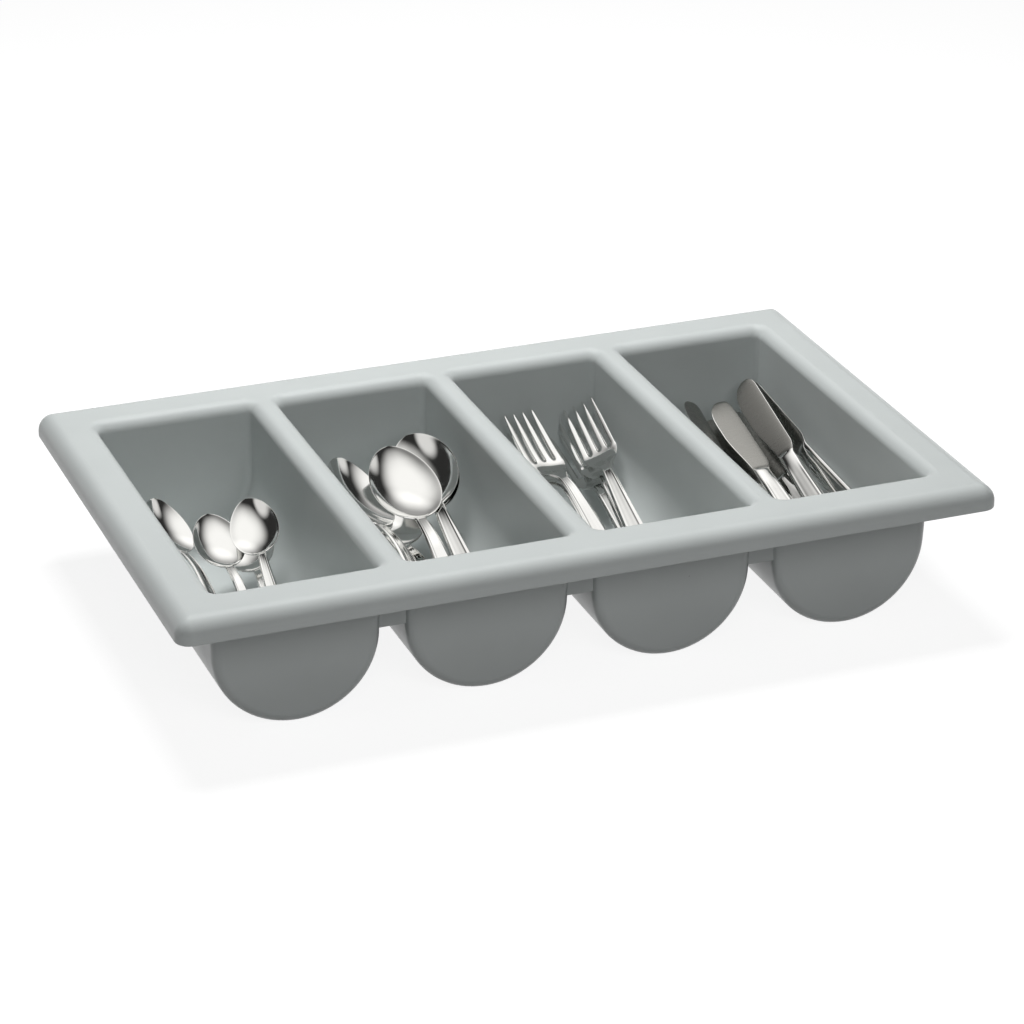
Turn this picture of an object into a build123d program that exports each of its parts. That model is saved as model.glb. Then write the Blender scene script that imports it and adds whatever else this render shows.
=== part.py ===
from build123d import *
import math
import os

os.makedirs("parts", exist_ok=True)

# Tray: overall sizes of the moulding
tray_length = 530.0
tray_width = 325.0
tray_height = 98.0
wall = 2.2
compartments = 4

# Tray: rim and its turned-down skirt
skirt_depth = 15.4
plan_corner = 9.5
rim_round = 9.0
mouth_round = 8.0

# Tray: troughs hanging below the rim
side_rim = 30.8
end_rim = 33.8
trough_gap = 16.4
trough_corner = 6.9
mould_draft = 1.5
web_drop = 41.0

# Cutlery: what all of it shares
sheet = 2.2
bowl_sheet = 1.4
play = 0.3
cut_overrun = 5.0
straight_share = 0.2
bowl_steps_share = (0.3, 0.65, 1)

# Teaspoon
teaspoon_length = 140.0
teaspoon_bowl_length = 48.0
teaspoon_bowl_width = 31.5
teaspoon_bowl_depth = 6.5
teaspoon_end_width = 14.0
teaspoon_neck_width = 5.5
teaspoon_arch = 10.0

# Tablespoon
tablespoon_length = 200.0
tablespoon_bowl_length = 69.0
tablespoon_bowl_width = 45.0
tablespoon_bowl_depth = 9.0
tablespoon_end_width = 20.0
tablespoon_neck_width = 7.5
tablespoon_arch = 14.0

# Fork
fork_length = 198.0
fork_head_length = 72.0
fork_head_width = 25.0
fork_tip_width = 23.0
fork_tine_length = 46.0
fork_tines = 4
fork_root_gap = 2.6
fork_tip_gap = 3.6
fork_end_width = 19.0
fork_neck_width = 7.0
fork_arch = 14.0
fork_bend = 8.0

# Knife
knife_length = 212.0
knife_blade_length = 84.0
knife_blade_width = 19.0
blade_sheet = 1.8
knife_end_width = 20.0
knife_neck_width = 11.0
knife_end_thickness = 7.0
knife_neck_thickness = 4.0
knife_edge_round = 1.6

# Piles, lowest piece first. A row holds the angle round the trough at which the handle's end lies,
# the layer that it lies in, its distance from the front wall as a share of the piece's length,
# and how far the piece is raised and swung left.
teaspoon_rows_share = [
    (20, 0, 0.34, 14, -3),
    (0, 0, 0.36, 19.5, -0.5),
    (-22, 0, 0.47, 23, 6),
    (20, 1, 0.34, 21, -5),
]
tablespoon_rows_share = [
    (0, 0, 0.03, 10.5, 2),
    (-27, 0, 0.05, 14, 1.5),
    (27, 0, 0.09, 16, -2),
    (0, 1, 0.03, 18.5, -2),
    (-27, 1, 0.05, 15, 1.5),
    (27, 1, 0.09, 16.8, -2),
]
fork_rows_share = [
    (-26, 0, 0.25, 10, -1),
    (0, 0, 0.25, 13, 1),
    (27, 0, 0.24, 8, -3),
    (0, 1, 0.25, 15, 2),
    (27, 1, 0.24, 10.5, -5),
    (27, 2, 0.24, 13, -6),
]
knife_rows_share = [
    (0, 0, 0.06, 7, 0),
    (0, 1, 0.06, 8.5, -1),
    (34, 0, 0.09, 7.5, 0),
    (-31, 0, 0.09, 13, -4),
    (0, 2, 0.06, 10, -3),
    (34, 1, 0.09, 13, -2.5),
    (66, 0, 0.09, 7.5, 1),
]

# Worked out: trough radius, spacing and levels, with the underside of the troughs at zero
trough_radius = (tray_length - 2 * side_rim - (compartments - 1) * trough_gap) / (2 * compartments)
pitch = 2 * trough_radius + trough_gap
end_reach = tray_width / 2 - end_rim
skirt_bottom = tray_height - skirt_depth
web_bottom = tray_height - web_drop


def trough_form(inset):
    """Solid of the trough, moved inwards by the inset: a half round with upright sides and bevelled ends."""
    radius = trough_radius - inset
    lean = math.radians(mould_draft)
    touch = (radius * math.cos(lean), trough_radius - radius * math.sin(lean))
    top = (touch[0] + (tray_height - touch[1]) * math.tan(lean), tray_height)
    with BuildPart() as form:
        with BuildSketch(Plane.XZ):
            with BuildLine():
                Line(top, touch)
                ThreePointArc(touch, (0, trough_radius - radius), (-touch[0], touch[1]))
                Line((-touch[0], touch[1]), (-top[0], top[1]))
                Line((-top[0], top[1]), top)
            make_face()
        extrude(amount=end_reach - inset, both=True)
        ends = form.faces().filter_by(Axis.Y)
        draft(ends, Plane.XY.offset(tray_height), mould_draft)
        for end in (form.faces().sort_by(Axis.Y)[0], form.faces().sort_by(Axis.Y)[-1]):
            # the bevel's middle lies on the round of that corner radius, which keeps the wall even
            chamfer(end.edges().sort_by(Axis.Z)[:-1], (trough_corner - inset) * (2 - math.sqrt(2)))
    return form.part


# Tray: the room under the rim, between the skirt and the troughs
outer_form = trough_form(0)
inner_form = trough_form(wall)

with BuildPart() as channel:
    with BuildSketch(Plane.XY.offset(skirt_bottom)):
        RectangleRounded(tray_length - 2 * wall, tray_width - 2 * wall, plan_corner - wall)
    extrude(amount=skirt_depth - wall)
    with GridLocations(pitch, 0, compartments, 1):
        add(outer_form, mode=Mode.SUBTRACT)
    ceiling = channel.faces().sort_by(Axis.Z)[-1]
    fillet(ceiling.inner_wires().edges(), mouth_round - wall)
    ceiling = channel.faces().sort_by(Axis.Z)[-1]
    fillet(ceiling.outer_wire().edges(), rim_round - wall)

# Tray: the whole moulding
with BuildPart() as tray:
    with BuildSketch(Plane.XY.offset(skirt_bottom)):
        RectangleRounded(tray_length, tray_width, plan_corner)
    extrude(amount=skirt_depth)
    fillet(tray.edges().group_by(Axis.Z)[-1], rim_round)
    add(channel.part, mode=Mode.SUBTRACT)
    with GridLocations(pitch, 0, compartments, 1):
        add(outer_form)
    with BuildSketch(Plane.XY.offset(web_bottom)):
        with GridLocations(pitch, 2 * (end_reach - trough_corner), compartments - 1, 2):
            Rectangle(trough_gap + wall, wall)
    extrude(amount=tray_height - wall / 2 - web_bottom)
    with GridLocations(pitch, 0, compartments, 1):
        add(inner_form, mode=Mode.SUBTRACT)
    rim_top = tray.faces().filter_by(Axis.Z).sort_by(Axis.Z)[-1]
    fillet(rim_top.inner_wires().edges(), mouth_round)

tray.part.label = "tray"
export_step(tray.part, "parts/tray.step")


def handle_outline(end_width, neck_width, neck_at):
    """Outline of a handle seen from above: widest at its rounded end, narrow at the neck."""
    half_end, half_neck = end_width / 2, neck_width / 2
    with BuildSketch() as outline:
        with BuildLine():
            Polyline((-half_end, 0), (half_end, 0), (half_neck, neck_at), (-half_neck, neck_at), close=True)
        make_face()
        fillet(outline.vertices().group_by(Axis.Y)[0], half_end * (1 - straight_share))
    return outline.sketch


def bowl_form(length, bowl_length, bowl_width, bowl_depth, inset):
    """Solid filling a spoon's bowl to its rim, moved inwards by the inset.

    Straight flanks join ellipses, which lie on a sphere's cap that is stretched along the spoon."""
    radius = ((bowl_width / 2) ** 2 + bowl_depth**2) / (2 * bowl_depth)
    full = math.acos((radius - bowl_depth) / (radius - inset))
    half = (radius - inset) * math.sin(full)
    stretch = (bowl_length - bowl_width + 2 * half) / (2 * half)
    with BuildPart() as form:
        for step_share in bowl_steps_share:
            reach = (radius - inset) * math.sin(full * step_share)
            with BuildSketch(Plane.XY.offset(radius - (radius - inset) * math.cos(full * step_share))):
                with Locations((0, length - bowl_length / 2)):
                    Ellipse(reach, reach * stretch)
        loft(ruled=True)
    return form.part


def spoon(length, bowl_length, bowl_width, bowl_depth, end_width, neck_width, arch):
    """Spoon lying along Y, its handle's end at the origin and its bowl's lowest point at zero."""
    crest_share = 0.72
    heel = length - bowl_length + bowl_sheet
    crest = heel * crest_share
    filled_bowl = bowl_form(length, bowl_length, bowl_width, bowl_depth, 0)
    hollow = bowl_form(length, bowl_length, bowl_width, bowl_depth, bowl_sheet)
    with BuildPart() as piece:
        with BuildSketch(Plane.YZ):
            with BuildLine():
                TangentArc((crest, arch), (0, 0), tangent=(-1, 0))
                TangentArc((crest, arch), (heel, bowl_depth - sheet), tangent=(1, 0))
                Line((heel, bowl_depth - sheet), (heel, bowl_depth))
                TangentArc((crest, arch + sheet), (heel, bowl_depth), tangent=(1, 0))
                TangentArc((crest, arch + sheet), (0, sheet), tangent=(-1, 0))
                Line((0, sheet), (0, 0))
            make_face()
        extrude(amount=end_width, both=True)
        with BuildSketch():
            add(handle_outline(end_width, neck_width, heel))
        extrude(amount=arch + bowl_depth, mode=Mode.INTERSECT)
        add(filled_bowl)
        add(hollow, mode=Mode.SUBTRACT)
    return piece.part


def fork():
    """Fork lying along Y, its handle's end at the origin: a bent sheet cut to its outline and slotted."""
    crest_share, turn_share, turn_height_share, shoulder_share = 0.82, 0.1, 0.5, 0.25
    neck = fork_length - fork_head_length
    crest = neck * crest_share
    turn = (neck + fork_head_length * turn_share, fork_arch * turn_height_share)
    shoulder = neck + fork_head_length * shoulder_share
    slots_end = fork_length + cut_overrun
    with BuildPart() as piece:
        with BuildSketch(Plane.YZ):
            with BuildLine():
                for rise in (0, sheet):
                    TangentArc((crest, fork_arch + rise), (0, rise), tangent=(-1, 0))
                    fall = TangentArc((crest, fork_arch + rise), (turn[0], turn[1] + rise), tangent=(1, 0))
                    TangentArc(fall @ 1, (fork_length, fork_bend + rise), tangent=fall % 1)
                Line((0, 0), (0, sheet))
                Line((fork_length, fork_bend), (fork_length, fork_bend + sheet))
            make_face()
        extrude(amount=fork_head_width, both=True)
        with BuildSketch():
            add(handle_outline(fork_end_width, fork_neck_width, neck))
            with BuildLine():
                Polyline(
                    (fork_neck_width / 2, neck),
                    (fork_head_width / 2, shoulder),
                    (fork_tip_width / 2, fork_length),
                    (-fork_tip_width / 2, fork_length),
                    (-fork_head_width / 2, shoulder),
                    (-fork_neck_width / 2, neck),
                    close=True,
                )
            make_face()
            with GridLocations((fork_tip_width + fork_tip_gap) / fork_tines, 0, fork_tines - 1, 1):
                with Locations((0, fork_length - fork_tine_length)):
                    Polygon(
                        (-fork_root_gap / 2, 0),
                        (fork_root_gap / 2, 0),
                        (fork_tip_gap / 2, slots_end - fork_length + fork_tine_length),
                        (-fork_tip_gap / 2, slots_end - fork_length + fork_tine_length),
                        align=None,
                        mode=Mode.SUBTRACT,
                    )
        extrude(amount=fork_arch + fork_bend + sheet, both=True, mode=Mode.INTERSECT)
    return piece.part


def knife():
    """Knife lying along Y, its handle's end at the origin and the underside of its handle's end at zero."""
    spine_share, edge_share, full_share = 0.45, 0.55, 0.88
    bolster = knife_length - knife_blade_length
    middle = knife_end_thickness / 2
    spine = knife_blade_width * spine_share
    edge = -knife_blade_width * edge_share
    flare = bolster + knife_blade_width / 2
    full = bolster + knife_blade_length * full_share
    with BuildPart() as piece:
        with BuildSketch(Plane.XZ):
            with Locations((0, middle)):
                RectangleRounded(knife_end_width, knife_end_thickness, knife_edge_round)
        with BuildSketch(Plane.XZ.offset(-bolster)):
            with Locations((0, middle)):
                RectangleRounded(knife_neck_width, knife_neck_thickness, knife_edge_round)
        loft(ruled=True)
        with BuildSketch(Plane.XY.offset(middle)):
            with BuildLine():
                Line((-knife_neck_width / 2, bolster), (knife_neck_width / 2, bolster))
                Line((knife_neck_width / 2, bolster), (spine, flare))
                Line((spine, flare), (spine, full))
                back = TangentArc((spine, full), (spine / 2, knife_length), tangent=(0, 1))
                TangentArc(back @ 1, (edge, full), tangent=back % 1)
                Line((edge, full), (edge, flare))
                Line((edge, flare), (-knife_neck_width / 2, bolster))
            make_face()
        extrude(amount=blade_sheet / 2, both=True)
    return piece.part


def pile(name, model, length, flat_width, thickness, compartment, rows_share):
    """Lay pieces in a compartment: handle ends low in front, on the floor or each other, heads raised."""
    floor_radius = math.sqrt((trough_radius - wall - play) ** 2 - (flat_width / 2) ** 2)
    middle = (compartment - (compartments - 1) / 2) * pitch
    front = wall + trough_corner - end_reach
    for number, (turned, layer, back_share, raised, swung) in enumerate(rows_share, 1):
        turn = math.radians(turned)
        reach = floor_radius - layer * (thickness + play) / math.cos(math.radians(raised))
        across = middle + reach * math.sin(turn)
        back = front + back_share * length
        up = trough_radius - reach * math.cos(turn)
        with BuildPart() as piece:
            with Locations(Pos(across, back, up) * Rot(Z=swung) * Rot(X=raised) * Rot(Y=-turned)):
                add(model)
        piece.part.label = f"{name}_{number}"
        export_step(piece.part, f"parts/{name}_{number}.step")


# Cutlery: one model of each kind, laid in its own compartment
teaspoon = spoon(
    teaspoon_length,
    teaspoon_bowl_length,
    teaspoon_bowl_width,
    teaspoon_bowl_depth,
    teaspoon_end_width,
    teaspoon_neck_width,
    teaspoon_arch,
)
tablespoon = spoon(
    tablespoon_length,
    tablespoon_bowl_length,
    tablespoon_bowl_width,
    tablespoon_bowl_depth,
    tablespoon_end_width,
    tablespoon_neck_width,
    tablespoon_arch,
)
teaspoon_flat = teaspoon_end_width * straight_share
tablespoon_flat = tablespoon_end_width * straight_share
fork_flat = fork_end_width * straight_share
knife_flat = knife_end_width - 2 * knife_edge_round
pile("teaspoon", teaspoon, teaspoon_length, teaspoon_flat, sheet, 0, teaspoon_rows_share)
pile("tablespoon", tablespoon, tablespoon_length, tablespoon_flat, sheet, 1, tablespoon_rows_share)
pile("fork", fork(), fork_length, fork_flat, sheet, 2, fork_rows_share)
pile("knife", knife(), knife_length, knife_flat, knife_end_thickness, 3, knife_rows_share)
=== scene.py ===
# %% [markdown]
# A catering cutlery tray is one plastic moulding: a flat rim turned down into a skirt, and four
# round-bottomed troughs that hang from it. Loose stainless cutlery lies in the troughs. The CAD model
# says where everything is, so this lesson loads it as a fixed frame and builds finer surfaces at the
# same places: smooth rounds, truly hollow spoon bowls, pointed tines and ground blades.

# %% Load the fixed frame
import math

import bpy
import numpy as np
from mathutils import Matrix, Vector
from mathutils.geometry import delaunay_2d_cdt


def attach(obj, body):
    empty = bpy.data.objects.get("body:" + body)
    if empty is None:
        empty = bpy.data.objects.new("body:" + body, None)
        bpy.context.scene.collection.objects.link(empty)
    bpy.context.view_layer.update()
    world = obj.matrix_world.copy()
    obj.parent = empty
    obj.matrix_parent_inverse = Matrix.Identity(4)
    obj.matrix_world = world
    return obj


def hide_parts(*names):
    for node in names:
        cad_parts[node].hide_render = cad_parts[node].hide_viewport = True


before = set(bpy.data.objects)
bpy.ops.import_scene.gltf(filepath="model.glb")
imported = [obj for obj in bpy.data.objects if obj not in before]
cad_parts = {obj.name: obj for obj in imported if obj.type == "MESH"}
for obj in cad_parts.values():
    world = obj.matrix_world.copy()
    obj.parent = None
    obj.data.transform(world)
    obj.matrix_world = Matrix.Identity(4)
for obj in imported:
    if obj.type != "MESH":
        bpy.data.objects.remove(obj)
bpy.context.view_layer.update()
mm = 0.001


# %% [markdown]
# Every surface is a grid of points worked out by numpy. Neighbouring surfaces share their border points,
# so they can be welded. The tray's surfaces also know their exact normals, which make a round run into
# a flat without a visible joint. Smooth shading alone can't do that beside a large flat face.

# %% Faces of a grid
weld_step = 0.001 * mm


def grid_faces(rows, columns, closed=False, flip=False):
    """Quads between the neighbouring points of a grid that is stored row by row."""
    number = np.arange(rows * columns).reshape(rows, columns)
    if closed:
        number = np.concatenate([number, number[:, :1]], axis=1)
    quads = np.stack([number[:-1, :-1], number[:-1, 1:], number[1:, 1:], number[1:, :-1]], axis=-1)
    quads = quads.reshape(-1, 4)
    return quads[:, ::-1] if flip else quads


def weld(points):
    """Number equal points only once. Points are equal when they round to the same weld steps."""
    keys = np.round(points / weld_step).astype(np.int64)
    _, first, number = np.unique(keys, axis=0, return_index=True, return_inverse=True)
    return first, number.reshape(-1)


# %% From grids to one mesh
def sort_faces(own, shared):
    """Faces by the corners that they keep once welded: the whole ones, then quads that lost a corner."""
    same = shared == np.roll(shared, -1, axis=1)
    whole = ~same.any(axis=1)
    groups = [(own[whole], shared[whole])]
    if own.shape[1] == 4:
        for corner in range(4):
            lost = same[:, corner] & (same.sum(axis=1) == 1)
            groups.append((np.delete(own[lost], corner, 1), np.delete(shared[lost], corner, 1)))
    return [group for group in groups if len(group[0])]


def build_piece(name, surfaces, material_numbers=None):
    """One welded mesh object from surfaces, each a tuple of points, normals or None, and faces."""
    points = np.concatenate([surface[0] for surface in surfaces])
    starts = np.cumsum([0] + [len(surface[0]) for surface in surfaces])
    first, number = weld(points)
    loops, sizes, slots, normals = [], [], [], []
    for place, (_, own_normals, faces) in enumerate(surfaces):
        for own, shared in sort_faces(faces, number[faces + starts[place]]):
            loops.append(shared.reshape(-1))
            sizes.append(np.full(len(own), own.shape[1]))
            slots.append(np.full(len(own), material_numbers[place] if material_numbers else 0))
            if own_normals is not None:
                normals.append(own_normals[own.reshape(-1)])
    loops, sizes, slots = np.concatenate(loops), np.concatenate(sizes), np.concatenate(slots)
    mesh = bpy.data.meshes.new(name)
    mesh.vertices.add(len(first))
    mesh.vertices.foreach_set("co", points[first].astype(np.float32).reshape(-1))
    mesh.loops.add(len(loops))
    mesh.loops.foreach_set("vertex_index", loops.astype(np.int32))
    mesh.polygons.add(len(sizes))
    mesh.polygons.foreach_set("loop_start", (np.cumsum(sizes) - sizes).astype(np.int32))
    mesh.polygons.foreach_set("material_index", slots.astype(np.int32))
    mesh.update(calc_edges=True)
    mesh.validate()
    mesh.shade_smooth()
    if normals:
        mesh.normals_split_custom_set(np.concatenate(normals).astype(np.float32))
    piece = bpy.data.objects.new(name, mesh)
    bpy.context.scene.collection.objects.link(piece)
    return piece


# %% [markdown]
# Sizes of the moulding, in millimetres, as in the CAD source, but for a slightly larger round on the
# rim and deeper webs between the troughs. The troughs narrow a little towards their bottoms: without
# that draft the moulding would not come out of its tool.

# %% The tray's own sizes
tray_length, tray_width, tray_height = 530.0, 325.0, 98.0
wall, compartments = 2.2, 4
skirt_depth, plan_corner, rim_round, mouth_round = 15.4, 9.5, 11.5, 8.0
side_rim, end_rim, trough_gap, trough_corner, web_drop = 30.8, 33.8, 16.4, 6.9, 45.0
draft = math.radians(1.5)
trough_radius = (tray_length - 2 * side_rim - (compartments - 1) * trough_gap) / (2 * compartments)
pitch = 2 * trough_radius + trough_gap
end_reach = tray_width / 2 - end_rim
trough_centres = (np.arange(compartments) - (compartments - 1) / 2) * pitch
print("trough radius", trough_radius, "centres", trough_centres)

# %% [markdown]
# Seen from above, every edge of the tray is a rounded rectangle. One function makes them all. Its points
# always come in the same order and number, so two such loops join point by point.

# %% A rounded rectangle in plan
corner_steps, long_steps, short_steps = 9, 40, 22


def plan_loop(half_x, half_y, corner, out=0.0):
    """Rounded rectangle, anticlockwise: quarter circles joined by straights, each point then moved
    outwards by out along its own normal. Returns the points and the normals, both in plan."""
    signs = np.array([(1, 1), (-1, 1), (-1, -1), (1, -1)])
    quarters = np.arange(len(signs))[:, None] * math.pi / 2
    angles = np.linspace(0, math.pi / 2, corner_steps) + quarters
    turns = np.stack([np.cos(angles), np.sin(angles)], axis=-1)
    arcs = signs[:, None] * (half_x - corner, half_y - corner) + corner * turns
    points, normals = [], []
    for number, (arc, turn) in enumerate(zip(arcs, turns)):
        share = np.linspace(0, 1, (long_steps, short_steps)[number % 2] + 1)[1:-1, None]
        stop = arcs[(number + 1) % len(arcs), 0]
        points += [arc, arc[-1] + share * (stop - arc[-1])]
        normals += [turn, np.repeat(turn[-1:], len(share), axis=0)]
    points, normals = np.concatenate(points), np.concatenate(normals)
    return points + out * normals, normals


def loft(loops, heights, outs, ups):
    """Stack plan loops at their heights. Each normal = the loop's own normal times out, and up."""
    points, normals = [], []
    for (loop, turned), z, out, up in zip(loops, heights, outs, ups):
        points.append(np.column_stack([loop, np.full(len(loop), z)]))
        normals.append(np.column_stack([turned * out, np.full(len(loop), up)]))
    return np.concatenate(points), np.concatenate(normals)


print("points in a plan loop:", len(plan_loop(tray_length / 2, tray_width / 2, plan_corner)[0]))

# %% [markdown]
# A trough is a half round carried along the tray, with straight drafted walls above it. Its mouth and
# the seams at its flat end walls are rounded. The same functions make the inside, whose inset is the
# wall and whose side is one, and the outside, with no inset and a side of minus one.

# %% A trough's widths and its mouth
mouth_steps, arc_steps, wall_steps = 10, 49, 8


def wall_half(inset, z):
    """Half width of the trough at height z on its straight drafted wall."""
    radius = trough_radius - inset
    touch = (radius * math.cos(draft), trough_radius - radius * math.sin(draft))
    return touch[0] + (z - touch[1]) * math.tan(draft)


def end_half(inset, z):
    """Half length of the trough at height z."""
    return end_reach - inset - (tray_height - z) * math.tan(draft)


def mouth_surface(centre, inset, mouth, top, side):
    """The mouth's round, and its upper edge in plan. The plan loops rise by the radius times the sine
    of an angle, and move outwards by the radius times what the cosine has lost."""
    turn_height = top - mouth
    start_height = turn_height + mouth * math.sin(draft)
    half_x, half_y = wall_half(inset, start_height), end_half(inset, start_height)
    angles = np.linspace(draft, math.pi / 2, mouth_steps)
    outs = mouth * (math.cos(draft) - np.cos(angles))
    loops = [plan_loop(half_x, half_y, trough_corner - inset, out) for out in outs]
    points, normals = loft(loops, turn_height + mouth * np.sin(angles), -np.cos(angles), np.sin(angles))
    points[:, 0] += centre
    quads = grid_faces(len(angles), len(loops[0][0]), closed=True, flip=side > 0)
    return (points, normals * side, quads), loops[-1][0] + np.array([centre, 0])


print("half width of a mouth:", round(wall_half(wall, tray_height - mouth_round), 2), "mm")

# %% [markdown]
# The profile across a trough runs down one wall, round the bottom and up the other. At each end it is
# pulled inwards along its own normal, which rounds the seam. The end wall fills what is left.

# %% A trough's channel and end walls
def channel(centre, inset, start_height):
    """Grids of points and normals of the walls and the half round. At each seam the profile moves
    inwards by the radius times one minus the cosine of an angle, and along by the radius times the sine."""
    seam, radius = trough_corner - inset, trough_radius - inset
    wall_z = np.linspace(start_height, trough_radius - radius * math.sin(draft), wall_steps)[:-1]
    wall_x, level, sideways = wall_half(inset, wall_z), np.zeros(len(wall_z)), np.ones(len(wall_z))
    arc = np.linspace(-draft, -math.pi + draft, arc_steps)
    profile_x = np.concatenate([wall_x, radius * np.cos(arc), -wall_x[::-1]])
    profile_z = np.concatenate([wall_z, trough_radius + radius * np.sin(arc), wall_z[::-1]])
    turn_x = np.concatenate([-sideways, -np.cos(arc), sideways])
    turn_z = np.concatenate([level, -np.sin(arc), level])
    round_angle = np.linspace(0, math.pi / 2, corner_steps)
    share = np.linspace(0, 1, short_steps + 1)[1:-1]
    angle = np.concatenate([round_angle[::-1], np.zeros(len(share)), round_angle])
    pulled = seam * (1 - np.cos(angle))
    x = profile_x[:, None] + turn_x[:, None] * pulled
    z = profile_z[:, None] + turn_z[:, None] * pulled
    first, last = corner_steps, corner_steps + len(share)
    facing = np.repeat([1.0, 0.0, -1.0], [corner_steps, len(share), corner_steps])
    y = facing * (end_half(inset, z) - seam * (1 - np.sin(angle)))
    back, front = y[:, first - 1 : first], y[:, last : last + 1]
    y[:, first:last] = back + share * (front - back)
    turn_y, across = -facing * np.sin(angle), np.cos(angle)
    turned = np.broadcast_arrays(turn_x[:, None] * across, turn_y, turn_z[:, None] * across)
    return np.stack([x + centre, y, z], axis=-1), np.stack(turned, axis=-1)


def end_walls(points, side):
    """Both end walls of a channel: straight rows between the two halves of the profile's end."""
    rows, columns = points.shape[:2]
    middle = rows // 2
    share = np.linspace(0, 1, long_steps + 1)[None, :, None]
    surfaces = []
    for column, facing in ((0, -1.0), (columns - 1, 1.0)):
        right = points[: middle + 1, column]
        left = points[::-1, column][: middle + 1]
        filled = right[:, None] + share * (left - right)[:, None]
        normal = np.array([0.0, facing * math.cos(draft), math.sin(draft)]) * side
        quads = grid_faces(middle + 1, long_steps + 1, flip=(facing < 0) != (side > 0))
        surfaces.append((filled.reshape(-1, 3), np.tile(normal, (filled.size // 3, 1)), quads))
    return surfaces


def trough_surfaces(centre, inset, mouth, top, side):
    """The surfaces of one trough's inside or outside, and its upper edge in plan."""
    rounded, edge = mouth_surface(centre, inset, mouth, top, side)
    points, normals = channel(centre, inset, top - mouth + mouth * math.sin(draft))
    quads = grid_faces(*points.shape[:2], flip=side > 0)
    walls = (points.reshape(-1, 3), normals.reshape(-1, 3) * side, quads)
    return [rounded, walls] + end_walls(points, side), edge


# %% [markdown]
# The rim's top and its underside are flat sheets with four holes. A constrained triangulation fills the
# room between the outer loop and the hole loops and keeps every border point, so the rounds join on.

# %% Flat sheets with holes
inside_outline, least_distance = 1, 1e-6


def flat_sheet(outer, holes, z, up):
    """Triangles between an outer loop and hole loops at height z. Those whose three corners lie on one
    hole's loop would fill that hole, so they are left out."""
    loops = [outer] + holes
    points = np.concatenate(loops)
    starts = np.cumsum([0] + [len(loop) for loop in loops])
    edges = []
    for start, loop in zip(starts, loops):
        number = np.arange(len(loop))
        edges += np.stack([start + number, start + (number + 1) % len(loop)], axis=-1).tolist()
    corner_points = [Vector(point) for point in points.tolist()]
    made = delaunay_2d_cdt(corner_points, edges, [], inside_outline, least_distance)
    flat = np.array([tuple(point) for point in made[0]])
    triangles = np.array([list(face) for face in made[2]])
    source = np.array([list(numbers)[0] if len(numbers) else -1 for numbers in made[3]])
    owners = np.repeat(np.arange(len(loops)), [len(loop) for loop in loops])[source][triangles]
    filled = (owners == owners[:, :1]).all(axis=1) & (owners[:, 0] > 0)
    triangles = triangles[~filled]
    plan = flat[triangles]
    turn = np.cross(plan[:, 1] - plan[:, 0], plan[:, 2] - plan[:, 0])
    triangles = np.where((turn[:, None] > 0) == up, triangles, triangles[:, ::-1])
    points = np.column_stack([points[source], np.full(len(source), z)])
    normals = np.tile([0.0, 0.0, 1.0 if up else -1.0], (len(points), 1))
    return points, normals, triangles


# %% [markdown]
# The rim is one profile carried round the tray: from the flat top it rolls over into the skirt's outer
# face, round the lower edge, up the inner face and back under the top, one wall further in.

# %% The rim's profile
rim_steps, edge_steps, inner_steps, least_corner = 12, 9, 8, 0.5


def arc_rows(centre_in, centre_z, radius, start, stop, steps, facing=1.0):
    """Rows of an arc: distance in from the outer face = centre minus radius times the cosine, height =
    centre plus radius times the sine, then the normal outwards and up."""
    angle = np.linspace(start, stop, steps)
    cos, sin = np.cos(angle), np.sin(angle)
    return np.stack([centre_in - radius * cos, centre_z + radius * sin, facing * cos, facing * sin], axis=-1)


def rim_surface():
    """The skin of rim and skirt, and its first and last loop in plan: a quarter round, the rounded
    lower edge and an inner quarter round, with straight faces between them."""
    turn_height, edge, quarter = tray_height - rim_round, wall / 2, math.pi / 2
    inwards, heights, outs, ups = np.concatenate([
        arc_rows(rim_round, turn_height, rim_round, quarter, 0, rim_steps),
        arc_rows(edge, tray_height - skirt_depth + edge, edge, 0, -math.pi, edge_steps),
        arc_rows(rim_round, turn_height, rim_round - wall, 0, quarter, inner_steps, -1.0),
    ]).T
    corner = np.maximum(plan_corner - inwards, least_corner)
    half_x, half_y = tray_length / 2 - inwards, tray_width / 2 - inwards
    loops = [plan_loop(*sizes) for sizes in zip(half_x, half_y, corner)]
    points, normals = loft(loops, heights, outs, ups)
    quads = grid_faces(len(loops), len(loops[0][0]), closed=True, flip=True)
    return (points, normals, quads), loops[0][0], loops[-1][0]


# %% [markdown]
# Two small webs tie neighbouring troughs, so that they don't spread when the tray is full.

# %% A web between two troughs
web_steps = 8


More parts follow.
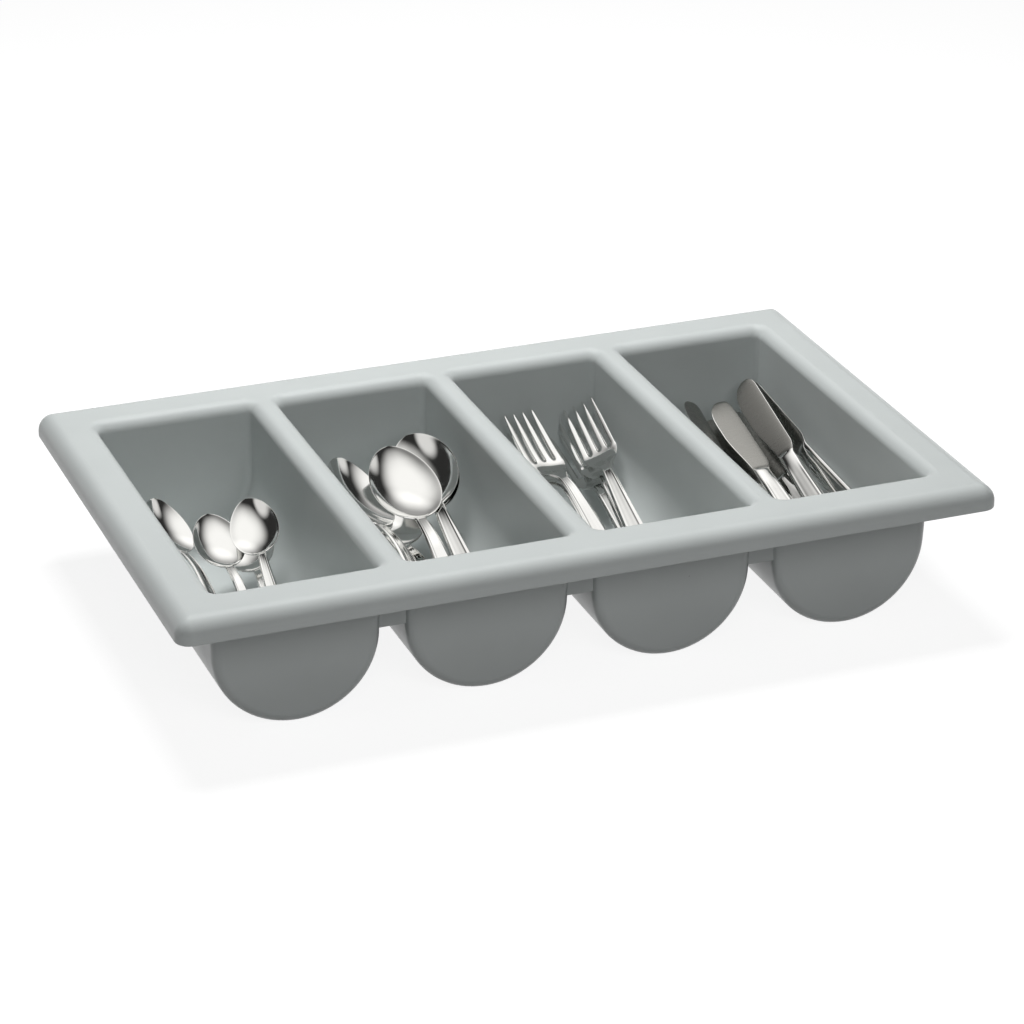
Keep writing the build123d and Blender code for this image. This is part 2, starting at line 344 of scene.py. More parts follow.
def web_surfaces(x, y):
    """A thin upright web, closed like a box. It ends in the middle of both trough walls: half its width
    follows the drafted walls, and in the mouths' rounds loses the radius times one minus the cosine."""
    inset = wall / 2
    radius, turn_height = mouth_round - inset, tray_height - mouth_round
    angle = np.linspace(0, math.pi / 2, web_steps)
    z = np.concatenate([[tray_height - web_drop], turn_height + radius * np.sin(angle)])
    half = pitch / 2 - wall_half(inset, np.minimum(z, turn_height))
    half[1:] -= radius * (1 - np.cos(angle))
    corner_x = np.stack([-half, half, half, -half], axis=-1)
    corner_y = np.array([-inset, -inset, inset, inset])
    ring = np.stack(np.broadcast_arrays(x + corner_x, y + corner_y, z[:, None]), axis=-1)
    surfaces = []
    for side, turn in enumerate(((0, -1, 0), (1, 0, 0), (0, 1, 0), (-1, 0, 0))):
        strip = ring[:, [side, (side + 1) % 4]].reshape(-1, 3)
        surfaces.append((strip, np.tile(np.array(turn, float), (len(strip), 1)), grid_faces(len(z), 2)))
    for row, up, order in ((0, -1.0, [3, 2, 1, 0]), (-1, 1.0, [0, 1, 2, 3])):
        surfaces.append((ring[row], np.tile([0.0, 0.0, up], (4, 1)), np.array([order])))
    return surfaces


# %% [markdown]
# Inside and outside of every trough, the rim, the two flat sheets and the webs become one welded mesh,
# because the real tray is one piece.

# %% The whole tray
moulding, holes, ceilings = [], [], []
for centre in trough_centres:
    made, edge = trough_surfaces(centre, wall, mouth_round, tray_height, 1.0)
    moulding += made
    holes.append(edge)
    made, edge = trough_surfaces(centre, 0.0, mouth_round - wall, tray_height - wall, -1.0)
    moulding += made
    ceilings.append(edge)
rim, top_loop, under_loop = rim_surface()
moulding.append(rim)
moulding.append(flat_sheet(top_loop, holes, tray_height, True))
moulding.append(flat_sheet(under_loop, ceilings, tray_height - wall, False))
for gap in range(compartments - 1):
    for side in (-1, 1):
        moulding += web_surfaces(trough_centres[gap] + pitch / 2, side * (end_reach - trough_corner))
tray = build_piece("tray_moulding", [(points * mm, normals, faces) for points, normals, faces in moulding])
print("tray:", len(tray.data.polygons), "faces")

# %% [markdown]
# Cutlery. Each kind is worked out once, lying along Y with its handle's end at the origin, and then laid
# in its trough by the same angles and distances as the CAD solids.

# %% Laying a piece in its trough
play, straight_share, sheet = 0.3, 0.2, 2.2


def laid(points, kind, row):
    """Turn, raise and swing a piece, then put its handle's end on the floor or on the layer below."""
    turned, layer, back_share, raised, swung = row
    floor_radius = math.sqrt((trough_radius - wall - play) ** 2 - (kind["flat"] / 2) ** 2)
    turn, rise = math.radians(turned), math.radians(raised)
    reach = floor_radius - layer * (kind["thickness"] + play) / math.cos(rise)
    place = Vector((
        trough_centres[kind["trough"]] + reach * math.sin(turn),
        wall + trough_corner - end_reach + back_share * kind["length"],
        trough_radius - reach * math.cos(turn),
    ))
    rotation = (
        Matrix.Rotation(math.radians(swung), 3, "Z")
        @ Matrix.Rotation(rise, 3, "X")
        @ Matrix.Rotation(-turn, 3, "Y")
    )
    return (points @ np.array(rotation).T + np.array(place)) * mm


# %% [markdown]
# All cutlery changes smoothly along its length. These helpers give smooth steps, the bent line of a
# sheet handle, places that crowd towards both ends, where a shape turns fastest, and skins.

# %% Helpers for shapes along a piece
def ramp(x, start, stop):
    """Smooth step: nought before start, one after stop."""
    t = np.clip((x - start) / (stop - start), 0, 1)
    return t * t * (3 - 2 * t)


def sheet_line(y, crest, arch, end, end_height):
    """Underside of a bent sheet handle: two arcs that are level where they meet at the crest."""
    first = (crest**2 + arch**2) / (2 * arch)
    run, drop = end - crest, arch - end_height
    second = (run**2 + drop**2) / (2 * drop)
    rising = arch - first + np.sqrt(first**2 - np.clip(crest - y, 0, None) ** 2)
    falling = arch - second + np.sqrt(second**2 - np.clip(y - crest, 0, run) ** 2)
    return np.where(y < crest, rising, falling)


def crowded(length, rows):
    """A column of places from nought to length: length times half of one minus a cosine."""
    return length * (0.5 - 0.5 * np.cos(np.pi * np.linspace(0, 1, rows)))[:, None]


def section(around):
    """Cosine and sine of the angles of a section's points, each as a row."""
    angle = np.linspace(0, 2 * np.pi, around, endpoint=False) + np.pi / around
    return np.cos(angle)[None, :], np.sin(angle)[None, :]


def closed_skin(x, y, z):
    """Points and quads of the skin through ring-shaped sections, one for each row of x and z."""
    points = np.stack(np.broadcast_arrays(x, y, z), axis=-1).reshape(-1, 3)
    return points, grid_faces(*x.shape, closed=True)


# %% [markdown]
# A handle has a rounded end, narrows towards its neck, and carries a soft raised line along each side.
# The lines are only a third of a millimetre high, but polished steel shows them as stripes.

# %% Handles and their lines
end_power, narrowing = 2.3, 1.2
ridge_at, ridge_width, groove_depth, groove_width = 0.72, 0.15, 0.6, 0.42
line_height, line_start = 0.34, (1.0, 9.0)


def rounded_end(y, cap, power):
    """Share of the full size near a rounded end: the root of one minus a power of the way left."""
    return (1 - np.clip(1 - y / cap, 0, 1) ** power) ** (1 / power)


def handle_half(y, end_width, neck_width, neck_at):
    """Half width of a handle: full behind its rounded end, then narrowing to the neck."""
    fall = np.clip(1 - y / neck_at, 0, 1) ** narrowing
    half = (neck_width + (end_width - neck_width) * fall) / 2
    return half * rounded_end(y, end_width / 2 * (1 - straight_share), end_power)


def lined(across, depth):
    """Height of the lines along a handle: two bell-shaped ridges with a bell-shaped hollow between."""
    ridges = np.exp(-(((np.abs(across) - ridge_at) / ridge_width) ** 2))
    return depth * (ridges - groove_depth * np.exp(-((across / groove_width) ** 2)))


print("lines rise by", round(float(lined(ridge_at, line_height)), 3), "mm")

# %% [markdown]
# A spoon is a flattened ring carried from the handle's end to the bowl's tip, whose width, thickness and
# hollow change on the way. The bowl is egg-shaped, and thinner, because pressing it stretched the sheet.

# %% A spoon's skin
spoon_rows, spoon_around, bowl_sheet = 190, 84, 1.35
egg_share, egg_bend_share, merge_share, merge_power = 0.12, 0.03, 0.32, 2.6
bowl_from_share, bowl_full_share, spoon_crest_share, heel_overrun = 0.06, 0.12, 0.72, 1.4
hollow_power, dish_power, handle_square, bowl_square = 0.9, 2.2, 0.95, 0.42
spoon_sizes = {
    "teaspoon": {
        "length": 140.0, "bowl_length": 48.0, "bowl_width": 31.5, "bowl_depth": 6.5,
        "end_width": 14.0, "neck_width": 5.5, "arch": 10.0,
    },
    "tablespoon": {
        "length": 200.0, "bowl_length": 69.0, "bowl_width": 45.0, "bowl_depth": 9.0,
        "end_width": 20.0, "neck_width": 7.5, "arch": 14.0,
    },
}


def spoon_skin(length, bowl_length, bowl_width, bowl_depth, end_width, neck_width, arch):
    """Closed skin of a spoon as (points, quads). For a point at angle a of the section at y:
    x = half width times cos a, z = the middle surface, sunk by the hollow, plus half the thickness
    times sin a raised to a power. A power below one squares the section off towards a sheet."""
    y = crowded(length, spoon_rows)
    heel, half_long = length - bowl_length, bowl_length / 2
    q = np.clip((y - (length - half_long)) / half_long, -1, 1)
    bowl = bowl_width / 2 * np.sqrt(1 - q**2) * (1 - egg_share * q - egg_bend_share * q**2)
    handle = handle_half(y, end_width, neck_width, heel)
    handle = handle * (1 - ramp(y, heel, heel + merge_share * bowl_length))
    half = (handle**merge_power + bowl**merge_power) ** (1 / merge_power)
    in_bowl = ramp(y, heel - bowl_from_share * bowl_length, heel + bowl_full_share * bowl_length)
    thickness = sheet * (1 - in_bowl) + bowl_sheet * in_bowl
    crest, end = heel * spoon_crest_share, heel + heel_overrun
    low = sheet_line(np.minimum(y, heel), crest, arch, end, bowl_depth - sheet)
    middle_z = np.where(y < heel, low + sheet / 2, bowl_depth - sheet / 2)
    middle_z = middle_z * (1 - in_bowl) + (bowl_depth - bowl_sheet / 2) * in_bowl
    hollow = (bowl_depth - bowl_sheet) * np.clip(1 - q**2, 0, 1) ** hollow_power
    power = handle_square * (1 - in_bowl) + bowl_square * in_bowl
    across, up = section(spoon_around)
    crown = thickness / 2 * np.sign(up) * np.abs(up) ** power
    crown = crown + (up > 0) * lined(across, line_height) * (1 - in_bowl) * ramp(y, *line_start)
    z = middle_z - hollow * (1 - np.abs(across) ** dish_power) + crown
    return closed_skin(half * across, y, z)


spoons = {name: spoon_skin(**sizes) for name, sizes in spoon_sizes.items()}
for name, (points, quads) in spoons.items():
    print(name, "spans", np.round(np.ptp(points, axis=0), 1), "mm in", len(quads), "quads")

# %% [markdown]
# The fork is a bent sheet. One grid makes handle and palm, whose last row follows the round roots of the
# slots, and one grid each tine, which starts on that row. The handle bends as in the CAD solid; the palm
# turns a little more sharply, as in the photograph.

# %% A fork's sizes and its bend
fork_length, fork_head, fork_width, fork_tip, tine_length = 198.0, 72.0, 25.0, 23.0, 46.0
tines, root_gap, tip_gap, fork_end, fork_neck, fork_arch, fork_bend = 4, 2.3, 3.5, 19.0, 7.0, 14.0, 8.0
fork_crest_share, turn_share, turn_height_share, settle = 0.82, 0.1, 0.5, 14.0
palm_at, root_at = fork_length - fork_head, fork_length - tine_length


def fork_height(y):
    """Underside of the fork: the handle's two arcs, then at s past the turn the palm's line
    z = turn_z + late * s + (slope - late) * settle * (1 - exp(-s / settle)), whose slope settles
    quickly from the handle's to that of the tines."""
    crest, turn_y = palm_at * fork_crest_share, palm_at + fork_head * turn_share
    turn_z = fork_arch * turn_height_share
    line = sheet_line(y, crest, fork_arch, turn_y, turn_z)
    run, drop = turn_y - crest, fork_arch - turn_z
    bend = (run**2 + drop**2) / (2 * drop)
    slope = -run / math.sqrt(bend**2 - run**2)
    rest, rise = fork_length - turn_y, fork_bend - turn_z
    soon = settle * (1 - math.exp(-rest / settle))
    late = (rise - slope * soon) / (rest - soon)
    past = np.clip(y - turn_y, 0, None)
    palm = turn_z + late * past + (slope - late) * settle * (1 - np.exp(-past / settle))
    return np.where(y < turn_y, line, palm)


print("fork: palm", np.round(fork_height(np.array([palm_at, root_at, fork_length])), 2), "mm high")

# %% A fork's plan
per_tine, per_gap, body_rows, tine_rows, body_crowding, tine_crowding = 8, 4, 130, 44, 0.8, 1.5
side_ease, palm_before, palm_after, palm_power, root_run, slot_run = 0.1, 6.0, 24.0, 0.75, 7.0, 4.0
point_loss, point_from, point_to, cap_from, cap_least = 0.45, 0.55, 1.1, 0.93, 0.03
root_half = fork_width / 2 - side_ease
tine = (2 * root_half - (tines - 1) * root_gap) / tines
tip_tine = (fork_tip - (tines - 1) * tip_gap) / tines
lefts = -root_half + np.arange(tines) * (tine + root_gap)
across_tine = np.sin(np.linspace(-math.pi / 2, math.pi / 2, per_tine + 1))


def body_plan():
    """Plan of handle and palm: x, y, and how near each point is to an edge, from nought in the middle
    of handle or tine to one at its sides. The last row dips by half a circle at each slot's root."""
    columns, slot_pull, tine_edge = [], [], []
    for number, left in enumerate(lefts):
        columns += list(left + tine * (1 + across_tine) / 2)
        slot_pull += [0.0] * (per_tine + 1)
        tine_edge += list(np.abs(across_tine))
        if number < tines - 1:
            turn = np.linspace(math.pi, 0, per_gap + 1)[1:-1]
            columns += list(left + tine + root_gap / 2 * (1 + np.cos(turn)))
            slot_pull += list(-root_gap / 2 * np.sin(turn))
            tine_edge += [1.0] * (per_gap - 1)
    across, pull = np.array(columns) / root_half, np.array(slot_pull)
    y = root_at * (1 - np.cos(np.linspace(0, 1, body_rows)[:, None] * np.pi / 2)) ** body_crowding
    handle = handle_half(y, fork_end, fork_neck, palm_at)
    spread = ramp(y, palm_at - palm_before, palm_at + palm_after) ** palm_power
    palm = fork_neck / 2 + (root_half - fork_neck / 2) * spread
    half = np.where(y < palm_at - palm_before, handle, np.maximum(handle, palm))
    near_root = np.clip((y - root_at + root_run) / root_run, 0, 1)
    slotted = ramp(y, root_at - slot_run, root_at)
    edge = (1 - slotted) * np.abs(across) + slotted * np.array(tine_edge)
    return half * across, y + pull * near_root, edge


def tine_plan(number, left):
    """Plan of one tine, also x, y and nearness to an edge: its middle and width run straight from root
    to tip, the width also falls by a smooth step, and the end is half an ellipse."""
    t = 1 - (1 - np.linspace(0, 1, tine_rows)[:, None]) ** tine_crowding
    tip_left = -fork_tip / 2 + number * (tip_tine + tip_gap)
    middle = (left + tine / 2) * (1 - t) + (tip_left + tip_tine / 2) * t
    width = (tine * (1 - t) + tip_tine * t) / 2 * (1 - point_loss * ramp(t, point_from, point_to))
    past_cap = np.clip(t - cap_from, 0, None) / (1 - cap_from)
    width = width * np.sqrt(np.clip(1 - past_cap**2, cap_least, 1))
    y, edge = root_at + t * tine_length, np.abs(across_tine)
    return np.broadcast_arrays(middle + width * across_tine, y, edge)


fork_plan = [body_plan()] + [tine_plan(number, left) for number, left in enumerate(lefts)]
print("fork: grids of", [x.shape for x, _, _ in fork_plan], "points")

# %% [markdown]
# Above and below the middle surface lies half the sheet's thickness, which falls off towards every edge.
# So the handle is crowned, the tines are flat on top with round sides and thin points, and the palm is
# slightly dished.

# %% A fork's skin
dish_before, dish_after, dish_middle = 2.0, 20.0, 0.5
handle_crown, palm_crown, tine_crown, thin_share, palm_thinning = 2.2, 3.0, 4.5, 0.3, 0.25
point_thinning, point_run, on_edge = 0.35, 20.0, 0.999


def fork_skin():
    """Closed skin of the fork as a list of (points, quads): upper and lower surface and their edges.
    Half the thickness = half the sheet times a thin share, plus the rest times one minus the nearness
    to an edge raised to a power. The palm is dished by the square of x."""
    surfaces = []
    for number, (x, y, edge) in enumerate(fork_plan):
        is_body = number == 0
        palm = ramp(y, palm_at - dish_before, palm_at + dish_after)
        middle = fork_height(y) + sheet / 2 + palm * ((x / (fork_width / 2)) ** 2 - dish_middle)
        power = handle_crown + palm_crown * palm if is_body else tine_crown
        thick = sheet / 2 * (thin_share + (1 - thin_share) * (1 - edge**power)) * (1 - palm_thinning * palm)
        if not is_body:
            thick = thick * (1 - point_thinning * ramp(y, fork_length - point_run, fork_length))
        lines = (1 - palm) * ramp(y, *line_start) * lined(edge, line_height) if is_body else 0.0
        upper, lower = np.stack([x, y, middle + thick + lines], -1), np.stack([x, y, middle - thick], -1)
        surfaces.append((upper.reshape(-1, 3), grid_faces(*x.shape)))
        surfaces.append((lower.reshape(-1, 3), grid_faces(*x.shape, flip=True)))
        for side, flip in ((0, False), (-1, True)):
            strip = np.stack([upper[:, side], lower[:, side]])
            surfaces.append((strip.reshape(-1, 3), grid_faces(*strip.shape[:2], flip=flip)))
        # the tine's end, or on the body only the slots' roots between the tines
        strip = np.stack([upper[-1], lower[-1]])
        quads = grid_faces(*strip.shape[:2])
        if is_body:
            quads = quads[np.minimum(edge[-1, :-1], edge[-1, 1:]) > on_edge]
        surfaces.append((strip.reshape(-1, 3), quads))
    return surfaces


fork = fork_skin()
print("fork:", sum(len(quads) for _, quads in fork), "quads")

# %% [markdown]
# The knife is forged in one piece: a plump handle with an oval section, a short neck, and a thin blade
# with a straight back, a bulging edge and a round tip. It is a flattened ring again, but not symmetric,
# because back and edge follow their own lines.

# %% A knife's outline and thickness
knife_length, blade_length, blade_width, blade_sheet = 212.0, 84.0, 19.0, 1.8
knife_end, knife_neck, end_thickness, neck_thickness, knife_edge_round = 20.0, 11.0, 7.0, 4.0, 1.6
bolster = knife_length - blade_length
back_share, edge_share, tip_share, knife_cap = 0.42, 0.56, 0.16, 6.4
back_full_share, edge_full_share = 0.88, 0.6
flare_run, belly_run, blade_run = (-1.0, 11.0), (-4.0, 44.0), (-1.5, 5.0)
cap_power, thickness_power, back_tip_power, edge_tip_power, tip_run, tip_loss = 2.4, 2.6, 2.4, 3.2, 3.0, 0.9


def past_bolster(y, run):
    """Smooth step between two distances from the bolster, where the handle ends."""
    return ramp(y, bolster + run[0], bolster + run[1])


def knife_outline(y):
    """Lines of the back and the edge: half the handle's width up to the bolster, then a share of the
    blade's width, which falls to the tip by the root of one minus a power of the way gone."""
    handle = (knife_neck + (knife_end - knife_neck) * np.clip(1 - y / bolster, 0, 1)) / 2
    handle = handle * rounded_end(y, knife_cap, cap_power)
    flare, belly = past_bolster(y, flare_run), past_bolster(y, belly_run)
    back = handle * (1 - flare) + blade_width * back_share * flare
    edge = -handle * (1 - belly) - blade_width * edge_share * belly
    back_full, edge_full = bolster + blade_length * back_full_share, bolster + blade_length * edge_full_share
    back_tip = np.clip((y - back_full) / (knife_length - back_full), 0, 1)
    edge_tip = np.clip((y - edge_full) / (knife_length - edge_full), 0, 1)
    tip_x = blade_width * tip_share
    back = tip_x + (back - tip_x) * np.sqrt(1 - back_tip**back_tip_power)
    return back, tip_x + (edge - tip_x) * np.sqrt(1 - edge_tip**edge_tip_power)


def knife_thickness(y, blade):
    """Thickness: falls from the handle's end to its neck, a sheet's on the blade, round at both ends."""
    thickness = end_thickness + (neck_thickness - end_thickness) * np.clip(y / bolster, 0, 1)
    thickness = thickness * rounded_end(y, knife_cap, thickness_power)
    thickness = thickness * (1 - blade) + blade_sheet * blade
    return thickness * np.sqrt(1 - np.clip((y - knife_length + tip_run) / tip_run, 0, 1) ** 2 * tip_loss)


# %% A knife's skin
knife_rows, knife_around, ground_start, face_share = 240, 72, 2.5, 0.975
knife_square, blade_square, taper_share, taper_power = 0.85, 0.3, 0.7, 1.4
knife_line_height, knife_line_start, knife_line_stop = 0.4, (2.0, 16.0), (-24.0, -4.0)


def knife_skin():
    """Closed skin of a knife as (points, quads, ground mask). The section at y reaches from the edge's
    line to the back's, and its thickness follows a power of the sine, as in the spoon."""
    y = crowded(knife_length, knife_rows)
    back, edge = knife_outline(y)
    blade = past_bolster(y, blade_run)
    thickness = knife_thickness(y, blade)
    power = knife_square * (1 - blade) + blade_square * blade
    across, up = section(knife_around)
    x = (back + edge) / 2 + (back - edge) / 2 * across
    taper = 1 - blade * taper_share * (1 - (across + 1) / 2) ** taper_power
    z = end_thickness / 2 + thickness / 2 * taper * np.sign(up) * np.abs(up) ** power
    ridges = lined(across, knife_line_height) * np.sign(up) * (1 - blade) * ramp(y, *knife_line_start)
    z = z + ridges * (1 - past_bolster(y, knife_line_stop))
    points, quads = closed_skin(x, y, z)
    on_face = np.broadcast_to(np.abs(across) < face_share, x.shape).reshape(-1)[quads].all(axis=1)
    return points, quads, on_face & (points[quads].mean(axis=1)[:, 1] > bolster + ground_start)


knife_points, knife_quads, ground = knife_skin()
print("knife:", len(knife_quads), "quads, of which", int(ground.sum()), "are ground")

# %% [markdown]
# How a surface was made decides how it looks. One function turns hex colours to the linear values that
# the renderer works in, and one adds a node with its settings and links. Patterns read the object's own
# coordinates, which are metres in the tray's frame, so a scale of 1000 is a pattern a millimetre wide.

# %% Helpers for materials
def linear(hex_colour):
    """An sRGB hex colour as linear red, green, blue and alpha."""
    parts = [int(hex_colour[start : start + 2], 16) / 255 for start in (1, 3, 5)]
    return [p / 12.92 if p <= 0.04045 else ((p + 0.055) / 1.055) ** 2.4 for p in parts] + [1.0]


def add_node(tree, kind, inputs=None, **settings):
    """One shader node. Settings are its own properties; inputs are socket values, or (node, output)
    links. A socket is given by its name, or by its number where a node has several of one name."""
    node = tree.nodes.new("ShaderNode" + kind)
    for key, value in settings.items():
        setattr(node, key, value)
    for socket, value in (inputs or {}).items():
        if isinstance(value, tuple) and isinstance(value[0], bpy.types.Node):
            tree.links.new(value[0].outputs[value[1]], node.inputs[socket])
        else:
            node.inputs[socket].default_value = value
    return node


def new_material(name):
    """An empty material and its node tree."""
    material = bpy.data.materials.new(name)
    material.use_nodes = True
    material.node_tree.nodes.clear()
    print("material:", name)
    return material, material.node_tree


def add_surface(tree, looks):
    """The principled shader with these inputs, and the output."""
    shader = add_node(tree, "BsdfPrincipled", looks)
    add_node(tree, "OutputMaterial", {"Surface": (shader, "BSDF")})


# numbers of a colour mix's sockets: its share, its two colours and what comes out
mix_share, mix_first, mix_second, mixed = 0, 6, 7, 2

# %% [markdown]
# The tray is polypropylene, injection moulded in a polished and then lightly blasted tool. That gives a
# satin skin: broad soft highlights, very slight sink waves over the large walls, a fine grain, and here
# and there a dark speck of charred resin. The grain of about 0.1 mm is too fine to show, so it is drawn
# at 0.9 mm. The clouds of tone are 45 mm wide, the specks lie 24 mm apart, and the waves are 60 mm long.

# %% Moulded polypropylene
noises = {"cloud": (22.0, 3.0), "gloss": (60.0, 1.0), "waves": (16.0, 1.0), "grain": (1100.0, 2.0)}
speck_scale, speck_core, speck_rim, speck_odds, speck_strength = 42.0, 0.008, 0.022, 0.72, 0.55
plastic, tree = new_material("moulded_polypropylene")
place = (add_node(tree, "TexCoord"), "Object")
for name, (scale, detail) in noises.items():
    noise = add_node(tree, "TexNoise", {"Vector": place, "Scale": scale, "Detail": detail})
    noises[name] = (noise, "Fac")
tones = {mix_share: noises["cloud"], mix_first: linear("#BCC1C0"), mix_second: linear("#C4C9C8")}
tone = add_node(tree, "Mix", tones, data_type="RGBA")
cells = add_node(tree, "TexVoronoi", {"Vector": place, "Scale": speck_scale})
reach = {"From Min": speck_core, "From Max": speck_rim, "To Min": 1.0, "To Max": 0.0}
dot = add_node(tree, "MapRange", {"Value": (cells, "Distance"), **reach})
chosen = add_node(tree, "SeparateColor", {"Color": (cells, "Color")})
few = add_node(tree, "Math", {0: (chosen, "Red"), 1: speck_odds}, operation="GREATER_THAN")
speck = add_node(tree, "Math", {0: (dot, "Result"), 1: (few, "Value")}, operation="MULTIPLY")
faint = add_node(tree, "Math", {0: (speck, "Value"), 1: speck_strength}, operation="MULTIPLY")
specked = {mix_share: (faint, "Value"), mix_first: (tone, mixed), mix_second: linear("#4E5251")}
colour = add_node(tree, "Mix", specked, data_type="RGBA")
limits = {"From Min": 0.2, "From Max": 0.8, "To Min": 0.28, "To Max": 0.33}
rough = add_node(tree, "MapRange", {"Value": noises["gloss"], **limits})
sink = add_node(tree, "Bump", {"Height": noises["waves"], "Strength": 0.35, "Distance": 2 * mm})
fine = {"Height": noises["grain"], "Strength": 0.12, "Distance": 0.2 * mm}
skin = add_node(tree, "Bump", {**fine, "Normal": (sink, "Normal")})
looks = {"Base Color": (colour, mixed), "Roughness": (rough, "Result"), "Normal": (skin, "Normal")}
add_surface(tree, {**looks, "IOR": 1.49})

# %% [markdown]
# Table cutlery is 18/10 stainless steel, pressed or forged and then buffed to a mirror. Buffing leaves
# shallow waves, here 13 mm long, that bend reflections. Use leaves hairlines that spread them; they are
# too fine to show, so patches of roughness 4 mm wide stand for them.

# %% Buffed stainless steel
wear_scale, dent_scale = 260.0, 75.0


def add_metal(tree, colour, wear, wear_range, roughness_range, relief, strength, depth):
    """Shader of a bare metal, whose roughness follows the wear pattern and whose surface the relief."""
    limits = dict(zip(("From Min", "From Max", "To Min", "To Max"), wear_range + roughness_range))
    rough = add_node(tree, "MapRange", {"Value": (wear, "Fac"), **limits})
    bump = {"Height": (relief, "Fac"), "Strength": strength, "Distance": depth * mm}
    bent = add_node(tree, "Bump", bump)
    looks = {"Base Color": linear(colour), "Roughness": (rough, "Result"), "Normal": (bent, "Normal")}
    add_surface(tree, {**looks, "Metallic": 1.0})


steel, tree = new_material("buffed_stainless_steel")
place = (add_node(tree, "TexCoord"), "Object")
wear = add_node(tree, "TexNoise", {"Vector": place, "Scale": wear_scale, "Detail": 5.0})
dents = add_node(tree, "TexNoise", {"Vector": place, "Scale": dent_scale, "Detail": 1.0})
add_metal(tree, "#EAEAE8", wear, (0.3, 0.75), (0.045, 0.11), dents, 0.25, 0.3)

# %% [markdown]
# Knife blades are ground across and left satin, so they look darker and softer than the handles. The
# lines are really about 0.05 mm apart; they are drawn at 0.2 mm, so that they show, and 8 mm long. They
# follow the blade's UV map, whose first value runs across the knife and whose second along it.

# %% Ground stainless steel
line_scale = (120.0, 5000.0, 1.0)
satin, tree = new_material("ground_stainless_steel")
along = add_node(tree, "UVMap", uv_map="across_along")
lines = add_node(tree, "Mapping", {"Vector": (along, "UV"), "Scale": line_scale})
scratch = add_node(tree, "TexNoise", {"Vector": (lines, "Vector"), "Scale": 1.0, "Detail": 3.0})
add_metal(tree, "#A09F9B", scratch, (0.3, 0.7), (0.24, 0.36), scratch, 0.06, 0.03)

# %% [markdown]
# The rows say how each piece lies, lowest first: the angle round the trough of its handle's end, its
# layer, its distance from the front as a share of its length, and how far it is raised and swung. They
# are the CAD model's rows, so every finished piece lands on its own solid.

# %% Heaps of cutlery
kinds = {
    name: {"trough": trough, "length": size["length"], "flat": size["end_width"] * straight_share,
           "thickness": sheet, "body": name + "s"}
    for trough, (name, size) in enumerate([
        *spoon_sizes.items(), ("fork", {"length": fork_length, "end_width": fork_end}),
    ])
}
kinds["knife"] = {
    "trough": 3, "length": knife_length, "flat": knife_end - 2 * knife_edge_round,
    "thickness": end_thickness, "body": "knives",
}
rows_of = {
    "teaspoon": [
        (20, 0, 0.34, 14, -3), (0, 0, 0.36, 19.5, -0.5), (-22, 0, 0.47, 23, 6), (20, 1, 0.34, 21, -5),
    ],
    "tablespoon": [
        (0, 0, 0.03, 10.5, 2), (-27, 0, 0.05, 14, 1.5), (27, 0, 0.09, 16, -2),
        (0, 1, 0.03, 18.5, -2), (-27, 1, 0.05, 15, 1.5), (27, 1, 0.09, 16.8, -2),
    ],
    "fork": [
        (-26, 0, 0.25, 10, -1), (0, 0, 0.25, 13, 1), (27, 0, 0.24, 8, -3),
        (0, 1, 0.25, 15, 2), (27, 1, 0.24, 10.5, -5), (27, 2, 0.24, 13, -6),
    ],
    "knife": [
        (0, 0, 0.06, 7, 0), (0, 1, 0.06, 8.5, -1), (34, 0, 0.09, 7.5, 0), (-31, 0, 0.09, 13, -4),
        (0, 2, 0.06, 10, -3), (34, 1, 0.09, 13, -2.5), (66, 0, 0.09, 7.5, 1),
    ],
}
models = {
    "teaspoon": [(*spoons["teaspoon"], 0)],
    "tablespoon": [(*spoons["tablespoon"], 0)],
    "fork": [(points, quads, 0) for points, quads in fork],
    "knife": [(knife_points, knife_quads[~ground], 0), (knife_points, knife_quads[ground], 1)],
}
for name, surfaces in models.items():
    print(name, "faces:", sum(len(quads) for _, quads, _ in surfaces), "pieces:", len(rows_of[name]))

# %% [markdown]
# Each piece takes the place of one CAD node and rides on its body, so it moves with its joint. A knife
# has two materials, and a UV map for its ground blade.

# %% The finished pieces
def add_plan_map(mesh, plan):
    """Store each corner's place across and along the piece, in metres, as a UV map."""
    corner_points = np.empty(len(mesh.loops), np.int32)
    mesh.loops.foreach_get("vertex_index", corner_points)
    layer = mesh.uv_layers.new(name="across_along")
    layer.data.foreach_set("uv", plan[corner_points].astype(np.float32).reshape(-1))


for name, kind in kinds.items():
    for number, row in enumerate(rows_of[name], 1):
        surfaces = [(laid(points, kind, row), None, quads) for points, quads, _ in models[name]]
        piece = build_piece(f"{name}_{number}_steel", surfaces, [slot for _, _, slot in models[name]])
        piece.data.materials.append(steel)
        if name == "knife":
            piece.data.materials.append(satin)
            first, _ = weld(np.concatenate([points for points, _, _ in surfaces]))
            add_plan_map(piece.data, np.concatenate([knife_points, knife_points])[first][:, :2] * mm)
        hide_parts(f"{name}_{number}")
        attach(piece, kind["body"])

tray.data.materials.append(plastic)
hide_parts("tray")
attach(tray, "tray")
print("finished pieces:", 1 + sum(len(rows) for rows in rows_of.values()))

# %% [markdown]
# The picture is taken from the front, a little from the left and about 25 degrees up, with a long lens.
# The camera was fitted by least squares to the rim's edges and the troughs' outlines.

